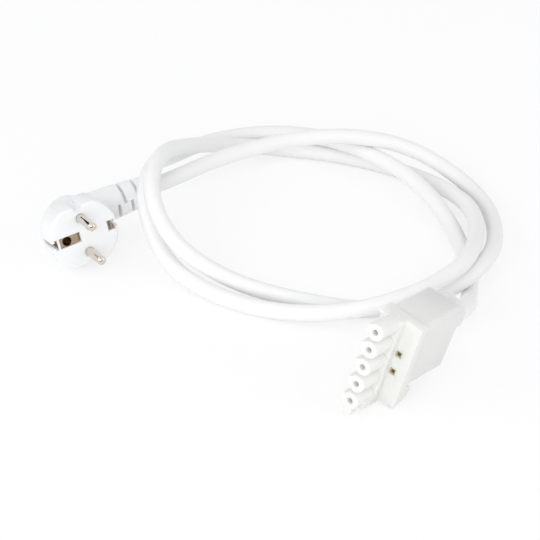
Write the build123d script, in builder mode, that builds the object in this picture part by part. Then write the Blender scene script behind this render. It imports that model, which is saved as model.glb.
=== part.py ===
from build123d import *
import math
import os

os.makedirs("parts", exist_ok=True)

# Plug, CEE 7/7 sizes in mm
barrel_d = 37.0
flat_cut = 2.5
barrel_flat = barrel_d / 2 - flat_cut
barrel_depth = 17.0
barrel_chamfer = 0.8
guide_w = 5.0
guide_depth = 2.4
rear_r = 12.3
rear_x = 2.0
rear_depth = 38.0
rear_round = 6.0
root_r = 10.0
cable_depth = 30.0
neck_x = 26.0
neck_r = 9.2
relief_end = 45.5
relief_end_r = 7.8
slot_w = 1.8
slot_wall = 0.8
slot_outer_r = 10.2
upper_slots = (32.0, 39.9)
lower_slots = (27.8, 35.7)
upper_arc = (215.0, 147.0)
lower_arc = (-4.0, 176.0)
pin_d = 4.8
pin_len = 19.0
pin_half = 9.5
pin_tail = 17.0
pin_tip_flat = 0.4
pin_shank_d = 3.4
pin_seat_d = 5.2
pin_seat = 0.4
pin_shoulder = 0.6
bridge_x = 11.0
bridge_shift = 2.5
bridge_y = 26.0
bridge_top = 8.0
bridge_thick = 6.0
bridge_corner = 2.0
strip_w = 5.0
strip_t = 0.8
strip_half = 15.3
strip_front = 0.8
strip_back = 16.0
earth_x = -10.0
earth_bore = 5.0
earth_tube_d = 6.5
earth_plate_x = (-14.0, -5.0)
earth_plate_depth = 1.0
earth_plate_bend = 2.4
earth_plate_end = 7.0
earth_well = 7.4
earth_slot = (-14.2, -2.4)
side_slot = (12.7, 16.8)
side_slot_depth = 4.0
contact_slot_w = 5.6
notch_w = 3.0
clip_recess = 1.5
clip_depth = 14.0
core_d = 2.8
core_side = 1.9
core_up = 1.0
core_down = 1.8
core_turn = 22.0
core_fan = 13.0
core_bend = 3.5
earth_tab = 3.0

# Connector sizes in mm, r along the row, t across it, m in the mating direction
pitch = 10.0
poles = 5
rows = [(i - (poles - 1) / 2) * pitch for i in range(poles)]
tube_d = 8.4
key_w = 4.4
key_t = -5.0
tube_len = 17.5
foot_reach = 6.8
foot_len = 4.0
rail_over = 1.6
rail_t = (1.0, 4.6)
rail_len = 12.0
tube_bore = 3.0
sleeve_front = 14.0
sleeve_back = 2.0
sleeve_bore = 2.0
sleeve_depth = 10.0
tail_d = 1.2
plinth_h = 4.0
plinth_t = (-6.0, 4.6)
flange_r = 23.0
flange_t = (-9.0, 13.7)
flange_thick = 6.0
toe_gap = 0.1
toe_len = 4.6
toe_depth = 10.0
lug_gap = 0.1
lug_t = -7.4
lug_size = (1.2, 2.8)
box_r = 5.0
box_t = 6.9
box_w = 3.4
box_bore = 1.8
box_recess = 0.5
box_depth = 4.0
core_rows = (rows[1], rows[3], rows[2])
core_gap = 0.3
hood_fan = (13.0, 25.0)
hood_step = 0.5
hood_wall = 1.6
hood_r = (hood_step - flange_r, core_rows[1] + core_d / 2 + core_gap + hood_wall)
toe_r = (hood_r[1] + toe_gap + toe_len, hood_r[1] + toe_gap)
hood_t = (-8.2, 13.2)
hood_back = 35.5
hood_rear_wall = 1.0
hood_corner = 3.0
snout_r = (-22.0, -6.2)
snout_t = (-4.0, 13.2)
snout_front = 37.0
snout_back = 43.0
snout_corner = 6.0
snout_round = 2.5
exit_r = -11.5
exit_t = 7.4

# Cord
cord_d = 8.6
cord_inset = 12.0
cord_lead = (15.0, 10.0)

# Where the plug and the connector lie on the floor
plug_face = Plane(origin=(-81.1, 42.1, 20.4), x_dir=(0.881, 0.452, 0.145), z_dir=(0.419, -0.883, 0.211))
conn_face = Plane(origin=(66.9, -78.0, 25.4), x_dir=(-0.267, 0.041, -0.963), z_dir=(-0.605, -0.785, 0.134))
plug_axis = Axis(plug_face.origin, plug_face.z_dir)
conn_axis = Axis(conn_face.origin, conn_face.z_dir)


def on_plug(x, y, z):
    return plug_face.from_local_coords(Vector(x, y, z))


def on_conn(r, t, m):
    return conn_face.from_local_coords(Vector(r, t, m))


def put(node, name):
    node.part.label = name
    export_step(node.part, "parts/" + name + ".step")
    box = node.part.bounding_box()
    low = [round(v, 1) for v in box.min]
    high = [round(v, 1) for v in box.max]
    print(name, round(node.part.volume, 1), "min", low, "max", high)


# The two line pins, with a rounded tip, a shoulder just below the plug's face and a thinner shank
for name, y in (("live_pin", pin_half), ("neutral_pin", -pin_half)):
    with BuildPart() as pin:
        with BuildSketch(plug_face.offset(-pin_tail)):
            with Locations((0, y)):
                Circle(pin_shank_d / 2)
        extrude(amount=pin_tail)
        with BuildSketch(plug_face.offset(-pin_seat)):
            with Locations((0, y)):
                Circle(pin_d / 2)
        extrude(amount=pin_seat + pin_len)
        rims = pin.edges().filter_by(lambda e: e.geom_type == GeomType.CIRCLE and e.radius > pin_shank_d / 2)
        shoulder, tip = rims.sort_by(plug_axis)[0], rims.sort_by(plug_axis)[-1]
        fillet(tip, pin_d / 2 - pin_tip_flat)
        chamfer(shoulder, pin_shoulder)
    put(pin, name)
    if y > 0:
        live_pin = pin
    else:
        neutral_pin = pin

# Hard carrier that holds both pins
with BuildPart() as plug_bridge:
    with BuildSketch(plug_face.offset(-bridge_top)):
        with Locations((bridge_shift, 0)):
            RectangleRounded(bridge_x, bridge_y, bridge_corner)
        with Locations((0, pin_half), (0, -pin_half)):
            Circle(pin_shank_d / 2, mode=Mode.SUBTRACT)
    extrude(amount=-bridge_thick)
put(plug_bridge, "plug_bridge")

# Earth strip, a U with the side contacts on its legs
with BuildPart() as earth_strip:
    with BuildSketch(plug_face.offset(-strip_back - strip_t)):
        Rectangle(2 * strip_half, strip_w)
    extrude(amount=strip_t)
    with BuildSketch(plug_face.offset(-strip_back)):
        with Locations((strip_half - strip_t / 2, 0), (strip_t / 2 - strip_half, 0)):
            Rectangle(strip_t, strip_w)
    extrude(amount=strip_back - strip_front)
put(earth_strip, "earth_strip")

# Earth socket, a tube on the strip with a plate in the face's window that bends down at its inner end
plate_side = Plane(origin=plug_face.origin, x_dir=plug_face.x_dir, z_dir=-plug_face.y_dir)
plate_under = earth_plate_depth + strip_t
bend_centre = (earth_plate_x[1], -earth_plate_depth - earth_plate_bend)
bend_x = earth_plate_x[1] + earth_plate_bend
with BuildPart() as earth_socket:
    with BuildSketch(plate_side):
        with BuildLine():
            outer = CenterArc(bend_centre, earth_plate_bend, 0, 90)
            inner = CenterArc(bend_centre, earth_plate_bend - strip_t, 0, 90)
            plate_end = earth_plate_x[0]
            Polyline(outer @ 1, (plate_end, -earth_plate_depth), (plate_end, -plate_under), inner @ 1)
            Polyline(outer @ 0, (bend_x, -earth_plate_end), (bend_x - strip_t, -earth_plate_end), inner @ 0)
        make_face()
    extrude(amount=strip_w / 2, both=True)
    with BuildSketch(plug_face.offset(-strip_back)):
        with Locations((earth_x, 0)):
            Circle(earth_tube_d / 2)
    extrude(amount=strip_back - plate_under)
    with BuildSketch(plug_face.offset(-strip_back)):
        with Locations((earth_x, 0)):
            Circle(earth_bore / 2)
    extrude(amount=strip_back, mode=Mode.SUBTRACT)
put(earth_socket, "earth_socket")

# Core ends between the pins and the end of the sheath
core_end = relief_end - cord_inset
plug_core_roots = {
    "plug_live_core": ((0, pin_half, -pin_tail), (core_side, core_up)),
    "plug_neutral_core": ((0, -pin_half, -pin_tail), (-core_side, core_up)),
    "plug_earth_core": ((earth_tab, 0, -strip_back - strip_t), (0, -core_down)),
}
plug_cores = []
for name, ((x, y, z), (side, up)) in plug_core_roots.items():
    lie = up - cable_depth
    points = [(x, y, z), (x, y, -core_turn), (core_fan, side, lie), (core_end, side, lie)]
    with BuildPart() as core:
        with BuildLine() as core_line:
            FilletPolyline(*[on_plug(*p) for p in points], radius=core_bend)
        with BuildSketch(Plane(origin=core_line.line @ 0, z_dir=core_line.line % 0)):
            Circle(core_d / 2)
        sweep(path=core_line.line)
    put(core, name)
    plug_cores.append(core)

# Moulded plug body with its strain relief
axis_plane = Plane(origin=on_plug(0, 0, -cable_depth), x_dir=plug_face.x_dir, z_dir=plug_face.z_dir)
with BuildPart() as plug_body:
    with BuildSketch(plug_face.offset(-barrel_depth)):
        with Locations((rear_x, 0)):
            Circle(rear_r)
    extrude(amount=-(rear_depth - barrel_depth))
    rims = plug_body.edges().filter_by(GeomType.CIRCLE)
    fillet(rims.sort_by(plug_axis)[0], rear_round)
    with BuildSketch(axis_plane):
        with BuildLine():
            Polyline(
                (rear_x, 0), (rear_x, root_r), (neck_x, neck_r), (relief_end, relief_end_r), (relief_end, 0),
                close=True,
            )
        make_face()
    revolve(axis=Axis(axis_plane.origin, axis_plane.x_dir))
    with BuildSketch(plug_face):
        Circle(barrel_d / 2)
        Rectangle(barrel_d, 2 * barrel_flat, mode=Mode.INTERSECT)
    extrude(amount=-barrel_depth)
    chamfer(plug_body.faces().sort_by(plug_axis)[-1].edges(), barrel_chamfer)
    with BuildSketch(plug_face):
        with Locations((0, barrel_flat), (0, -barrel_flat)):
            Rectangle(guide_w, 2 * guide_depth)
    extrude(amount=-barrel_depth, mode=Mode.SUBTRACT)
    # Contact slots in the face and the side notches of the barrel
    for (low, high), depth in ((earth_slot, earth_well), (side_slot, side_slot_depth)):
        with BuildSketch(plug_face):
            with Locations(((low + high) / 2, 0)):
                Rectangle(high - low, contact_slot_w)
        extrude(amount=-depth, mode=Mode.SUBTRACT)
    with BuildSketch(plug_face):
        for x in (strip_half + clip_recess / 2, -strip_half - clip_recess / 2):
            with Locations((x, 0)):
                Rectangle(clip_recess, contact_slot_w)
        for x in (barrel_d / 2, -barrel_d / 2):
            with Locations((x, 0)):
                Rectangle(2 * (barrel_d / 2 - strip_half), notch_w)
    extrude(amount=-clip_depth, mode=Mode.SUBTRACT)
    # Bend slots of the strain relief, upper and lower halves by turns
    for slots, (start, turn) in ((upper_slots, upper_arc), (lower_slots, lower_arc)):
        for x in slots:
            ring_at = on_plug(x - slot_w / 2, 0, -cable_depth)
            with BuildSketch(Plane(origin=ring_at, x_dir=plug_face.z_dir, z_dir=plug_face.x_dir)):
                with BuildLine():
                    inner = CenterArc((0, 0), cord_d / 2 + slot_wall, start, turn)
                    outer = CenterArc((0, 0), slot_outer_r, start, turn)
                    Line(inner @ 0, outer @ 0)
                    Line(inner @ 1, outer @ 1)
                make_face()
            extrude(amount=slot_w, mode=Mode.SUBTRACT)
    # Seats of everything moulded in
    with BuildSketch(plug_face):
        with Locations((earth_x, 0)):
            Circle(earth_bore / 2)
    extrude(amount=-strip_back, mode=Mode.SUBTRACT)
    with BuildSketch(plug_face):
        with Locations((0, pin_half), (0, -pin_half)):
            Circle(pin_seat_d / 2)
    extrude(amount=-pin_seat, mode=Mode.SUBTRACT)
    for seat in [live_pin, neutral_pin, plug_bridge, earth_strip, earth_socket] + plug_cores:
        add(seat.part, mode=Mode.SUBTRACT)
    cord_seat = on_plug(core_end, 0, -cable_depth)
    with BuildSketch(Plane(origin=cord_seat, x_dir=plug_face.y_dir, z_dir=plug_face.x_dir)):
        Circle(cord_d / 2)
    extrude(amount=cord_inset, mode=Mode.SUBTRACT)
put(plug_body, "plug_body")

# Cord, a fixed length of flex lying in two and a half loose turns
cord_start = on_plug(core_end, 0, -cable_depth)
cord_stop = on_conn(exit_r, exit_t, -snout_back + cord_inset)
cord_points = [
    tuple(cord_start), tuple(on_plug(relief_end + cord_lead[0], 0, -cable_depth)),
    (-16, 120, 23), (19, 141, 23.5), (57, 145, 25.5), (91, 143, 19.5), (117.5, 130, 8), (132.5, 100, 5),
    (133, 61, 10), (125.5, 22.5, 17.6), (103.5, -3.5, 14.1), (69, -7.5, 4.3), (32, 2.5, 4.3), (-3, 17, 6),
    (-30, 30, 16.5), (-44.5, 45, 30), (-48.5, 67, 41.5), (-43, 93, 42.5), (-32.5, 121, 31),
    (-15, 153, 15), (15, 168, 5), (51, 161, 4.3), (84.5, 144.5, 4.3), (110, 119, 6), (122.5, 85, 12),
    (121.5, 46, 19), (112, 2.5, 26.8), (86, -17, 21), (51, -16, 9), (15, -7.5, 4.3), (-17, 10.5, 4.3),
    (-41, 36.5, 8), (-53, 62.5, 28.5), (-49.5, 93, 35), (-41, 131, 18.5), (-25, 160, 12), (-2, 174, 10.5),
    (26, 173.5, 12), (51, 159.5, 14.4), (76, 138, 14), (96, 111.5, 12.8), (110.5, 79, 6.5), (116.5, 43, 4.3),
    (116, 21, 4.4), (113.3, -2, 7.5), (111.5, -20, 19),
    tuple(on_conn(exit_r, exit_t, -snout_back - cord_lead[1])), tuple(cord_stop),
]
runs = []
for a, b in zip(cord_points, cord_points[1:]):
    runs.append(Vector(*b) - Vector(*a))
radii = []
for a, b in zip(runs, runs[1:]):
    turn = math.radians(a.get_angle(b))
    radii.append(0.45 * min(a.length, b.length) / math.tan(turn / 2))
print("cord radii", [round(v, 1) for v in radii])
with BuildPart() as cord:
    with BuildLine() as cord_line:
        FilletPolyline(*cord_points, radius=radii)
    with BuildSketch(Plane(origin=cord_line.line @ 0, z_dir=cord_line.line % 0)):
        Circle(cord_d / 2)
    sweep(path=cord_line.line)
cord_length = cord_line.wires()[0].length
print("cord length", round(cord_length, 1))
section = math.pi * cord_d ** 2 / 4
print("cord volume", round(cord.part.volume, 1), "by section", round(cord_length * section, 1))
put(cord, "cord")

# Sleeves in the tubes, with a tail where a core is joined on, and box contacts beside the row
for i, row in enumerate(rows):
    with BuildPart() as sleeve:
        with BuildSketch(conn_face.offset(-sleeve_back)):
            with Locations((row, 0)):
                Circle(tube_bore / 2)
        extrude(amount=sleeve_back + sleeve_front)
        with BuildSketch(conn_face.offset(sleeve_front)):
            with Locations((row, 0)):
                Circle(sleeve_bore / 2)
        extrude(amount=-sleeve_depth, mode=Mode.SUBTRACT)
        if row in core_rows:
            with BuildSketch(conn_face.offset(-flange_thick)):
                with Locations((row, 0)):
                    Circle(tail_d / 2)
            extrude(amount=flange_thick - sleeve_back)
    put(sleeve, "tube_contact_" + str(i + 1))

for i, r in enumerate((-box_r, box_r)):
    with BuildPart() as box_contact:
        with BuildSketch(conn_face.offset(-flange_thick)):
            with Locations((r, box_t)):
                Rectangle(box_w, box_w)
        extrude(amount=flange_thick - box_recess)
        with BuildSketch(conn_face.offset(-box_recess)):
            with Locations((r, box_t)):
                Rectangle(box_bore, box_bore)
        extrude(amount=-box_depth, mode=Mode.SUBTRACT)
    put(box_contact, "slot_contact_" + str(i + 1))

# Insulating block with flange, toe, plinth and tubes
mid_t = (flange_t[0] + flange_t[1]) / 2
across_t = flange_t[1] - flange_t[0]
side_plane = Plane(origin=on_conn(0, flange_t[0], 0), x_dir=conn_face.x_dir, z_dir=conn_face.y_dir)
with BuildPart() as connector_block:
    with BuildSketch(side_plane):
        with BuildLine():
            # x is along the row, y is against the mating direction
            Polyline(
                (-flange_r, 0), (flange_r, 0), (toe_r[0], toe_depth), (toe_r[1], toe_depth),
                (toe_r[1], flange_thick), (-flange_r, flange_thick), close=True,
            )
        make_face()
    extrude(amount=across_t)
    with BuildSketch(conn_face):
        with Locations((0, (plinth_t[0] + plinth_t[1]) / 2)):
            Rectangle(2 * flange_r, plinth_t[1] - plinth_t[0])
        with Locations((lug_gap + lug_size[0] / 2 - flange_r, lug_t)):
            Rectangle(*lug_size)
    extrude(amount=plinth_h)
    with BuildSketch(conn_face):
        for row in rows:
            with Locations((row, 0)):
                Circle(tube_d / 2)
            with Locations((row, key_t / 2)):
                Rectangle(key_w, -key_t)
    extrude(amount=tube_len)
    # Coding foot in front of the last tube and the rail beside it
    last_r = rows[-1]
    with BuildSketch(conn_face.offset(tube_len)):
        with Locations((last_r + foot_reach / 2, 0)):
            Rectangle(foot_reach, key_w)
    extrude(amount=-foot_len)
    with BuildSketch(conn_face):
        rail_end = flange_r + rail_over
        with Locations(((last_r + rail_end) / 2, (rail_t[0] + rail_t[1]) / 2)):
            Rectangle(rail_end - last_r, rail_t[1] - rail_t[0])
    extrude(amount=rail_len)
    with BuildSketch(conn_face.offset(tube_len)):
        for row in rows:
            with Locations((row, 0)):
                Circle(tube_bore / 2)
    extrude(amount=-(tube_len + sleeve_back), mode=Mode.SUBTRACT)
    with BuildSketch(conn_face.offset(-sleeve_back)):
        for row in core_rows:
            with Locations((row, 0)):
                Circle(tail_d / 2)
    extrude(amount=-(flange_thick - sleeve_back), mode=Mode.SUBTRACT)
    with BuildSketch(conn_face):
        for r in (-box_r, box_r):
            with Locations((r, box_t)):
                Rectangle(box_w, box_w)
    extrude(amount=-flange_thick, mode=Mode.SUBTRACT)
put(connector_block, "connector_block")

# Core ends inside the hood
conn_cores = {
    "connector_live_core": (core_rows[0], (-core_side, core_up)),
    "connector_neutral_core": (core_rows[1], (core_side, core_up)),
    "connector_earth_core": (core_rows[2], (0, -core_down)),
}
for name, (row, (dr, dt)) in conn_cores.items():
    points = [
        (exit_r + dr, exit_t + dt, -snout_back + cord_inset), (exit_r + dr, exit_t + dt, -hood_fan[1]),
        (row, 0, -hood_fan[0]), (row, 0, -flange_thick),
    ]
    with BuildPart() as core:
        with BuildLine() as core_line:
            FilletPolyline(*[on_conn(*p) for p in points], radius=core_bend)
        with BuildSketch(Plane(origin=core_line.line @ 0, z_dir=core_line.line % 0)):
            Circle(core_d / 2)
        sweep(path=core_line.line)
    put(core, name)

# Rear hood with the snout for the cord
hood_mid = ((hood_r[0] + hood_r[1]) / 2, (hood_t[0] + hood_t[1]) / 2)
hood_size = (hood_r[1] - hood_r[0], hood_t[1] - hood_t[0])
snout_mid = ((snout_r[0] + snout_r[1]) / 2, (snout_t[0] + snout_t[1]) / 2)
snout_size = (snout_r[1] - snout_r[0], snout_t[1] - snout_t[0])
with BuildPart() as connector_hood:
    with BuildSketch(conn_face.offset(-flange_thick)):
        with Locations(hood_mid):
            RectangleRounded(*hood_size, hood_corner)
    extrude(amount=-(hood_back - flange_thick))
    with BuildSketch(conn_face.offset(-hood_back)):
        with Locations(hood_mid):
            RectangleRounded(*hood_size, hood_corner)
    with BuildSketch(conn_face.offset(-snout_front)):
        with Locations(snout_mid):
            RectangleRounded(*snout_size, snout_corner)
    loft()
    with BuildSketch(conn_face.offset(-snout_front)):
        with Locations(snout_mid):
            RectangleRounded(*snout_size, snout_corner)
    extrude(amount=-(snout_back - snout_front))
    fillet(connector_hood.faces().sort_by(conn_axis)[0].edges(), snout_round)
    with BuildSketch(conn_face.offset(-flange_thick)):
        with Locations(hood_mid):
            inner_size = [v - 2 * hood_wall for v in hood_size]
            RectangleRounded(*inner_size, hood_corner - hood_wall)
    extrude(amount=-(hood_back - flange_thick - hood_rear_wall), mode=Mode.SUBTRACT)
    with BuildSketch(conn_face.offset(-snout_back)):
        with Locations((exit_r, exit_t)):
            Circle(cord_d / 2)
    extrude(amount=cord_inset, mode=Mode.SUBTRACT)
put(connector_hood, "connector_hood")
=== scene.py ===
"""Looks of a white mains lead: moulded earthed plug, loose turns of flex, keyed block connector."""
import math

import bpy
from bpy.props import FloatProperty, FloatVectorProperty, IntProperty, PointerProperty
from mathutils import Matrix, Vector


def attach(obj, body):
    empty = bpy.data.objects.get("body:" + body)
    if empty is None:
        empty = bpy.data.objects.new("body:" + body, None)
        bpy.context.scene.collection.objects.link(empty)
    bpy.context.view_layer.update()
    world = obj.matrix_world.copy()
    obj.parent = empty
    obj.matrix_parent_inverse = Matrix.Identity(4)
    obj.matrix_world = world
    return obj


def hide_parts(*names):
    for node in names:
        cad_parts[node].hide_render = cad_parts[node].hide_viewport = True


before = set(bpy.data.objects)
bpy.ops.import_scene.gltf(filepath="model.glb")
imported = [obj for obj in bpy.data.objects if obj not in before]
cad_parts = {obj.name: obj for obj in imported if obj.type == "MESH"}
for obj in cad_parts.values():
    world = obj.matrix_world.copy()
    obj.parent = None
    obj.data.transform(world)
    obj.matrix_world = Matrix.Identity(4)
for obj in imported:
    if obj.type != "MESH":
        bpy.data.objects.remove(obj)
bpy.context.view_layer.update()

bl_info = {
    "name": "Power cord looks",
    "version": (1, 0, 0),
    "blender": (4, 5, 0),
    "location": "View3D > Sidebar > Power cord",
    "description": "Lays the flex, softens the mouldings and gives every piece its finish",
    "category": "Object",
}

MM = 0.001
BODY = "root"

# Route of the flex in millimetres, from inside the plug's strain relief to inside the connector's snout
ROUTE_MM = (
    (-64.2, 83.7, 18.9), (-40.4, 96.0, 22.8),
    (-16, 120, 23), (19, 141, 23.5), (57, 145, 25.5), (91, 143, 19.5), (117.5, 130, 8), (132.5, 100, 5),
    (133, 61, 10), (125.5, 22.5, 17.6), (103.5, -3.5, 14.1), (69, -7.5, 4.3), (32, 2.5, 4.3), (-3, 17, 6),
    (-30, 30, 16.5), (-44.5, 45, 30), (-48.5, 67, 41.5), (-43, 93, 42.5), (-32.5, 121, 31),
    (-15, 153, 15), (15, 168, 5), (51, 161, 4.3), (84.5, 144.5, 4.3), (110, 119, 6), (122.5, 85, 12),
    (121.5, 46, 19), (112, 2.5, 26.8), (86, -17, 21), (51, -16, 9), (15, -7.5, 4.3), (-17, 10.5, 4.3),
    (-41, 36.5, 8), (-53, 62.5, 28.5), (-49.5, 93, 35), (-41, 131, 18.5), (-25, 160, 12), (-2, 174, 10.5),
    (26, 173.5, 12), (51, 159.5, 14.4), (76, 138, 14), (96, 111.5, 12.8), (110.5, 79, 6.5), (116.5, 43, 4.3),
    (116, 21, 4.4), (113.3, -2, 7.5), (111.5, -20, 19), (107.6, -41.5, 27.6), (94.3, -58.7, 30.6),
)
FLEX_STEPS = 10
FLEX_SIDES = 8

# Mouldings: points closer than this are one, faces flatter than this are one, sharper edges are rounded
WELD_MM = 0.002
FLAT_ANGLE = math.radians(0.5)
SHARP_ANGLE = math.radians(35)

POLYMER_IOR = 1.52

# The photograph's view: straight along Y, 31 degrees down
CAMERA_AT = (0.014, -0.8936, 0.5616)
CAMERA_TO = (0.014, 0.041, 0.0)
SENSOR_MM = 36.0

# Name, place and edge of each square lamp; its power is the stage property of that name
LAMPS = (
    ("key", (-0.3, -1.35, 0.6), 1.1),
    ("fill", (1.2, -0.5, 0.7), 0.9),
    ("side", (-1.25, -0.3, 0.75), 0.9),
)
# Name, place, width and height of each dark card, which faces the plug's pins
CARDS = (
    ("back_flag", (-0.58, 0.52, 0.12), 0.5, 0.3),
    ("front_flag", (0.0, -0.72, 0.13), 1.0, 0.26),
)
PINS_AT = (-0.08, 0.04, 0.02)
CARD_COLOUR = "2A2A2C"
FLOOR_SIZE = 8.0
PAPER_SHADE = 0.32
PAPER_GLOW = 0.70
SKY_COLOUR = "FAFAFB"
WHITE = (1, 1, 1, 1)


def srgb(text):
    """Linear RGBA of an sRGB hex colour."""
    linear = []
    for i in (0, 2, 4):
        v = int(text[i:i + 2], 16) / 255
        linear.append(v / 12.92 if v <= 0.04045 else ((v + 0.055) / 1.055) ** 2.4)
    return (*linear, 1.0)


def colour(label, text, words):
    """Colour property with an sRGB hex colour as its default."""
    return FloatVectorProperty(
        name=label, description=words, subtype="COLOR", size=4, min=0, max=1, default=srgb(text))


def length(label, size_mm, words):
    """Length property with its default in millimetres."""
    return FloatProperty(name=label, description=words, default=size_mm * MM, unit="LENGTH", precision=5)


def power(label, watts, words):
    """Power property of a lamp."""
    return FloatProperty(name=label, description=words, default=watts, unit="POWER")


class CordsetSizes(bpy.types.PropertyGroup):
    cord_diameter: length("Flex", 8.6, "Outer diameter of the flex")
    plug_edge: length("Plug edges", 0.55, "Rounding of the soft plug moulding")
    block_edge: length("Block edges", 0.3, "Rounding of the hard connector block")
    hood_edge: length("Hood edges", 0.5, "Rounding of the connector's hood")
    edge_steps: IntProperty(
        name="Edge steps", description="Faces across a rounded edge", default=3, min=1, max=8)


class CordsetColours(bpy.types.PropertyGroup):
    flex: colour("Flex", "F6F6F6", "Sheath of the flex")
    plug: colour("Plug", "F5F6F7", "Moulded plug")
    block: colour("Block", "EEEEEB", "Connector block")
    hood: colour("Hood", "EBEAE9", "Connector hood")
    nickel: colour("Nickel", "DDD6CD", "Plated pins")
    brass: colour("Brass", "BCA68E", "Earth strip and socket")
    gilt: colour("Gilt", "C8BE9E", "Box contacts")
    tin: colour("Tin", "D2D0C4", "Sleeves in the tubes")
    resin: colour("Resin", "8C8F94", "Pin bridge")
    live: colour("Live core", "5B3216", "Brown core")
    neutral: colour("Neutral core", "1F4FA8", "Blue core")
    earth_green: colour("Earth core", "4E8F2A", "Green of the earth core")
    earth_yellow: colour("Earth stripe", "E3CF2E", "Yellow of the earth core")


class CordsetStage(bpy.types.PropertyGroup):
    lens: FloatProperty(name="Lens", description="Focal length in millimetres", default=140.0)
    floor: colour("Floor", "FAFAFA", "Floor as it lights the part")
    key: power("Key", 6.8, "Power of the front lamp")
    fill: power("Fill", 1.6, "Power of the lamp on the connector's side")
    side: power("Side", 3.2, "Power of the lamp on the plug's side")
    sky: FloatProperty(name="Sky", description="Strength of the light from all round", default=0.8)


def add_node(tree, kind, inputs=None, **settings):
    """Adds a node; an input is a value, or a (node, output) pair to link from."""
    node = tree.nodes.new(kind)
    for key, value in settings.items():
        setattr(node, key, value)
    for key, value in (inputs or {}).items():
        if isinstance(value, tuple) and isinstance(value[0], bpy.types.Node):
            tree.links.new(value[0].outputs[value[1]], node.inputs[key])
        else:
            node.inputs[key].default_value = value
    return node


def start_material(name):
    """New material with an empty tree, and the object coordinates that its patterns use."""
    material = bpy.data.materials.new(name)
    material.use_nodes = True
    tree = material.node_tree
    tree.nodes.clear()
    place = add_node(tree, "ShaderNodeTexCoord")
    return material, tree, (place, "Object")


def finish_material(tree, shader):
    add_node(tree, "ShaderNodeOutputMaterial", {"Surface": (shader, 0)})


def per_metre(size_mm):
    """Texture scale that gives features of about this size."""
    return 1 / (size_mm * MM)


def darker(main, share):
    return tuple(v * share for v in main[:3]) + (1.0,)


def noise(tree, place, size_mm, detail):
    """Noise with features of about this size."""
    texture = add_node(tree, "ShaderNodeTexNoise", {
        "Vector": place, "Scale": per_metre(size_mm), "Detail": detail})
    return (texture, "Fac")


def blend(tree, factor, first, second):
    """Mix of two colours by the factor; sockets 6, 7 and 2 are the node's colour ones."""
    mix = add_node(tree, "ShaderNodeMix", {"Factor": factor, 6: first, 7: second}, data_type="RGBA")
    return (mix, 2)


def uneven_skin(tree, main, shade, cloud, grain, rough, strength, height_mm):
    """Shader inputs of a surface whose colour and gloss follow the cloud, and its bump the grain."""
    gloss = add_node(tree, "ShaderNodeMapRange", {
        "Value": cloud, "From Min": 0.3, "From Max": 0.7, "To Min": rough[0], "To Max": rough[1]})
    bump = add_node(tree, "ShaderNodeBump", {
        "Height": grain, "Strength": strength, "Distance": height_mm * MM})
    tint = blend(tree, cloud, darker(main, shade), tuple(main))
    return {"Base Color": tint, "Roughness": (gloss, 0), "Normal": (bump, 0)}


def satin_polymer(name, main, cloud_mm, grain_mm, rough, soft, shade=0.965, depth_mm=0.8):
    """A light polymer: faint cloudy colour, uneven satin gloss, and a fine tool texture."""
    material, tree, place = start_material(name)
    cloud = noise(tree, place, cloud_mm, 3.0)
    grain = noise(tree, place, grain_mm, 2.0)
    shader = add_node(tree, "ShaderNodeBsdfPrincipled", {
        **uneven_skin(tree, main, shade, cloud, grain, rough, 0.25, 0.04), "IOR": POLYMER_IOR,
        "Subsurface Weight": soft, "Subsurface Radius": (1.0, 1.0, 1.0), "Subsurface Scale": depth_mm * MM})
    finish_material(tree, shader)
    return material


def striped_polymer(name, main, stripe, band_mm):
    """Insulation in two colours: even bands with crisp borders under a satin skin."""
    material, tree, place = start_material(name)
    # A wave texture at scale one repeats every pi / 10 metres, and a repeat is two bands
    wave = add_node(tree, "ShaderNodeTexWave", {"Vector": place, "Scale": math.pi / (20 * band_mm * MM)})
    crisp = add_node(tree, "ShaderNodeMapRange", {"Value": (wave, "Fac"), "From Min": 0.45, "From Max": 0.55})
    tint = blend(tree, (crisp, 0), tuple(main), tuple(stripe))
    shader = add_node(tree, "ShaderNodeBsdfPrincipled", {
        "Base Color": tint, "Roughness": 0.4, "IOR": POLYMER_IOR})
    finish_material(tree, shader)
    return material


def plated_metal(name, main, rough, dull=0.82, metal=1.0):
    """A metal skin: clean reflections, with small clouds of handling and fine rub marks.

    A metal value under one gives the chalky, scattering look of a thin matt plating."""
    material, tree, place = start_material(name)
    cloud = noise(tree, place, 1.6, 4.0)
    grain = noise(tree, place, 0.4, 3.0)
    shader = add_node(tree, "ShaderNodeBsdfPrincipled", {
        **uneven_skin(tree, main, dull, cloud, grain, rough, 0.12, 0.02), "Metallic": metal})
    finish_material(tree, shader)
    return material


def give(piece, material):
    """Makes this the piece's only material."""
    piece.data.materials.clear()
    piece.data.materials.append(material)


def only(piece):
    """Makes a piece the only selected and active object."""
    bpy.ops.object.select_all(action="DESELECT")
    piece.hide_set(False)
    piece.select_set(True)
    bpy.context.view_layer.objects.active = piece


def face(piece, at, to, front):
    """Puts a piece at a point and turns its front axis to another point."""
    piece.location = at
    piece.rotation_euler = (Vector(to) - Vector(at)).to_track_quat(front, "Y").to_euler()


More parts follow.
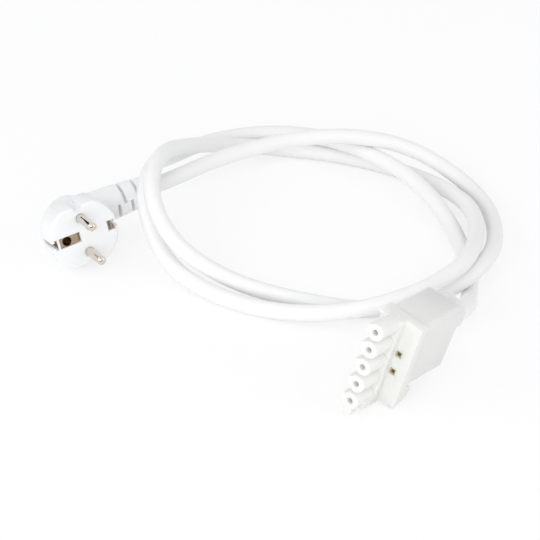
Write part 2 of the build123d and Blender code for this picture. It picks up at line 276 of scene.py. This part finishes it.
def soften(node, name, edge, steps):
    """Copy of a solid's mesh with its sharp edges rounded, as a moulding has them."""
    piece = bpy.data.objects.new(name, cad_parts[node].data.copy())
    bpy.context.scene.collection.objects.link(piece)
    only(piece)
    bpy.ops.object.mode_set(mode="EDIT")
    bpy.ops.mesh.select_all(action="SELECT")
    bpy.ops.mesh.remove_doubles(threshold=WELD_MM * MM)
    bpy.ops.mesh.dissolve_limited(angle_limit=FLAT_ANGLE)
    bpy.ops.object.mode_set(mode="OBJECT")
    bevel = piece.modifiers.new("edges", "BEVEL")
    bevel.width = edge
    bevel.segments = steps
    bevel.limit_method = "ANGLE"
    bevel.angle_limit = SHARP_ANGLE
    bpy.ops.object.modifier_apply(modifier=bevel.name)
    bpy.ops.object.shade_smooth_by_angle(angle=SHARP_ANGLE)
    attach(piece, BODY)
    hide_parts(node)
    return piece


class CORDSET_OT_lay_flex(bpy.types.Operator):
    """Lays the flex along its route, from the plug to the connector"""
    bl_idname = "cordset.lay_flex"
    bl_label = "Lay the flex"

    def execute(self, context):
        sizes = context.scene.cordset_sizes
        line = bpy.data.curves.new("flex", "CURVE")
        line.dimensions = "3D"
        spline = line.splines.new("NURBS")
        spline.points.add(len(ROUTE_MM) - 1)
        for point, at in zip(spline.points, ROUTE_MM):
            point.co = (at[0] * MM, at[1] * MM, at[2] * MM, 1.0)
        spline.order_u = 3
        spline.use_endpoint_u = True
        spline.resolution_u = FLEX_STEPS
        line.bevel_depth = sizes.cord_diameter / 2
        line.bevel_resolution = FLEX_SIDES
        line.use_fill_caps = True
        flex = bpy.data.objects.new("flex", line)
        context.scene.collection.objects.link(flex)
        give(flex, satin_polymer(
            "extruded_pvc", context.scene.cordset_colours.flex, 9.0, 0.7, (0.36, 0.46), 0.1))
        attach(flex, BODY)
        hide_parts("cord")
        return {"FINISHED"}

    def connector(self):
        """Everything at the flex's far end."""
        pieces = [bpy.data.objects["block_moulding"], bpy.data.objects["hood_moulding"]]
        for name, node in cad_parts.items():
            core = name.startswith("connector_") and name.endswith("_core")
            if core or name.startswith(("tube_contact_", "slot_contact_")):
                pieces.append(node)
        return pieces


class CORDSET_OT_mould_plug(bpy.types.Operator):
    """Softens the plug's moulding and gives it its satin skin"""
    bl_idname = "cordset.mould_plug"
    bl_label = "Mould the plug"

    def execute(self, context):
        sizes = context.scene.cordset_sizes
        piece = soften("plug_body", "plug_moulding", sizes.plug_edge, sizes.edge_steps)
        give(piece, satin_polymer(
            "moulded_pvc", context.scene.cordset_colours.plug, 7.0, 0.8, (0.34, 0.46), 0.1))
        return {"FINISHED"}


class CORDSET_OT_mould_connector(bpy.types.Operator):
    """Softens the connector's block and hood and gives them their skins"""
    bl_idname = "cordset.mould_connector"
    bl_label = "Mould the connector"

    def execute(self, context):
        sizes = context.scene.cordset_sizes
        colours = context.scene.cordset_colours
        block = soften("connector_block", "block_moulding", sizes.block_edge, sizes.edge_steps)
        give(block, satin_polymer(
            "block_polyamide", colours.block, 6.0, 0.9, (0.36, 0.5), 0.6, depth_mm=2.5))
        hood = soften("connector_hood", "hood_moulding", sizes.hood_edge, sizes.edge_steps)
        give(hood, satin_polymer(
            "hood_polyamide", colours.hood, 9.0, 0.9, (0.38, 0.52), 0.45, shade=0.94, depth_mm=2.0))
        return {"FINISHED"}


class CORDSET_OT_plate_contacts(bpy.types.Operator):
    """Gives pins, earth parts, sleeves and box contacts their metals"""
    bl_idname = "cordset.plate_contacts"
    bl_label = "Plate the contacts"

    def execute(self, context):
        colours = context.scene.cordset_colours
        finishes = (
            (("live_", "neutral_"), plated_metal("polished_nickel", colours.nickel, (0.06, 0.14), dull=0.9)),
            (("earth_",), plated_metal("spring_brass", colours.brass, (0.22, 0.36))),
            (("slot_contact_",), plated_metal("gilt_brass", colours.gilt, (0.45, 0.6), metal=0.35)),
            (("tube_contact_",), plated_metal("tinned_brass", colours.tin, (0.3, 0.45))),
        )
        for starts, metal in finishes:
            for name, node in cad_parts.items():
                if name.startswith(starts):
                    give(node, metal)
        return {"FINISHED"}


class CORDSET_OT_colour_inside(bpy.types.Operator):
    """Colours the pin bridge and the core ends inside the mouldings"""
    bl_idname = "cordset.colour_inside"
    bl_label = "Colour the inside"

    def execute(self, context):
        colours = context.scene.cordset_colours
        finishes = (
            ("plug_bridge", satin_polymer("hard_resin", colours.resin, 5.0, 0.8, (0.4, 0.55), 0.0)),
            ("_live_core", satin_polymer("brown_insulation", colours.live, 5.0, 0.8, (0.35, 0.45), 0.0)),
            ("_neutral_core", satin_polymer("blue_insulation", colours.neutral, 5.0, 0.8, (0.35, 0.45), 0.0)),
            ("_earth_core", striped_polymer(
                "striped_insulation", colours.earth_green, colours.earth_yellow, 2.0)),
        )
        for end, polymer in finishes:
            for name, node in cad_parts.items():
                if name.endswith(end):
                    give(node, polymer)
        return {"FINISHED"}


class CORDSET_OT_set_stage(bpy.types.Operator):
    """Sets the white floor, the lamps and the photograph's camera"""
    bl_idname = "cordset.set_stage"
    bl_label = "Set the stage"

    def execute(self, context):
        scene = context.scene
        stage = scene.cordset_stage
        scene.view_settings.view_transform = "Standard"
        bpy.ops.object.select_all(action="DESELECT")
        bpy.ops.mesh.primitive_plane_add(size=FLOOR_SIZE, location=(0, 0, 0))
        floor = context.active_object
        floor.name = "floor"
        give(floor, self.floor_material(stage.floor))
        self.sky(scene, stage.sky)
        for name, at, edge in LAMPS:
            self.lamp(scene, name, at, edge, getattr(stage, name))
        for name, at, width, height in CARDS:
            self.card(context, name, at, width, height)
        lens = bpy.data.cameras.new("camera")
        lens.lens = stage.lens
        lens.sensor_width = SENSOR_MM
        camera = bpy.data.objects.new("camera", lens)
        scene.collection.objects.link(camera)
        face(camera, CAMERA_AT, CAMERA_TO, "-Z")
        scene.camera = camera
        return {"FINISHED"}

    def seen(self, tree):
        """One where the camera, a mirror or clear plastic looks at the stage."""
        path = add_node(tree, "ShaderNodeLightPath")
        either = add_node(tree, "ShaderNodeMath", {
            0: (path, "Is Camera Ray"), 1: (path, "Is Glossy Ray")}, operation="MAXIMUM")
        return add_node(tree, "ShaderNodeMath", {
            0: (either, 0), 1: (path, "Is Transmission Ray")}, operation="MAXIMUM")

    def floor_material(self, main):
        """Matt white paper that photographs as white and still takes a faint shadow."""
        material, tree, _ = start_material("white_paper")
        plain = add_node(tree, "ShaderNodeBsdfDiffuse", {"Color": tuple(main)})
        faint = add_node(tree, "ShaderNodeBsdfDiffuse", {"Color": darker(main, PAPER_SHADE)})
        glow = add_node(tree, "ShaderNodeEmission", {"Color": WHITE, "Strength": PAPER_GLOW})
        paper = add_node(tree, "ShaderNodeAddShader", {0: (faint, 0), 1: (glow, 0)})
        mix = add_node(tree, "ShaderNodeMixShader", {0: (self.seen(tree), 0), 1: (plain, 0), 2: (paper, 0)})
        finish_material(tree, mix)
        return material

    def sky(self, scene, strength):
        """Even light from all round, which looks plain white itself."""
        world = bpy.data.worlds.new("studio")
        world.use_nodes = True
        tree = world.node_tree
        tree.nodes.clear()
        light = add_node(tree, "ShaderNodeBackground", {"Color": srgb(SKY_COLOUR), "Strength": strength})
        white = add_node(tree, "ShaderNodeBackground", {"Color": WHITE, "Strength": 1.0})
        mix = add_node(tree, "ShaderNodeMixShader", {0: (self.seen(tree), 0), 1: (light, 0), 2: (white, 0)})
        add_node(tree, "ShaderNodeOutputWorld", {"Surface": (mix, 0)})
        scene.world = world

    def lamp(self, scene, name, at, edge, watts):
        """Soft square lamp that points at the middle of the view."""
        data = bpy.data.lights.new(name, "AREA")
        data.shape = "SQUARE"
        data.size = edge
        data.energy = watts
        lamp = bpy.data.objects.new(name, data)
        scene.collection.objects.link(lamp)
        face(lamp, at, CAMERA_TO, "-Z")

    def card(self, context, name, at, width, height):
        """Dark card beside the set that only shows up in the metal's reflections."""
        bpy.ops.mesh.primitive_plane_add(size=1.0, location=at)
        card = context.active_object
        card.name = name
        card.scale = (width, height, 1.0)
        face(card, at, PINS_AT, "Z")
        card.visible_camera = False
        card.visible_diffuse = False
        card.visible_shadow = False
        material, tree, _ = start_material("black_card")
        finish_material(tree, add_node(tree, "ShaderNodeBsdfDiffuse", {"Color": srgb(CARD_COLOUR)}))
        give(card, material)


class CORDSET_PT_panel(bpy.types.Panel):
    """Sizes, colours and steps of the power cord"""
    bl_label = "Power cord"
    bl_idname = "CORDSET_PT_panel"
    bl_space_type = "VIEW_3D"
    bl_region_type = "UI"
    bl_category = "Power cord"

    def draw(self, context):
        scene = context.scene
        for group in (scene.cordset_sizes, scene.cordset_colours, scene.cordset_stage):
            box = self.layout.box()
            for key in group.__annotations__:
                box.prop(group, key)
        for step in STEPS:
            self.layout.operator(step.bl_idname)


GROUPS = (CordsetSizes, CordsetColours, CordsetStage)
STEPS = (
    CORDSET_OT_set_stage, CORDSET_OT_mould_plug, CORDSET_OT_mould_connector, CORDSET_OT_lay_flex,
    CORDSET_OT_plate_contacts, CORDSET_OT_colour_inside,
)
CLASSES = (*GROUPS, *STEPS, CORDSET_PT_panel)


def register():
    for item in CLASSES:
        bpy.utils.register_class(item)
    bpy.types.Scene.cordset_sizes = PointerProperty(type=CordsetSizes)
    bpy.types.Scene.cordset_colours = PointerProperty(type=CordsetColours)
    bpy.types.Scene.cordset_stage = PointerProperty(type=CordsetStage)


def unregister():
    del bpy.types.Scene.cordset_sizes
    del bpy.types.Scene.cordset_colours
    del bpy.types.Scene.cordset_stage
    for item in reversed(CLASSES):
        bpy.utils.unregister_class(item)


def main():
    register()
    bpy.ops.cordset.set_stage()
    bpy.ops.cordset.mould_plug()
    bpy.ops.cordset.mould_connector()
    bpy.ops.cordset.lay_flex()
    bpy.ops.cordset.plate_contacts()
    bpy.ops.cordset.colour_inside()
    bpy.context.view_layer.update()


if __name__ == "__main__":
    main()
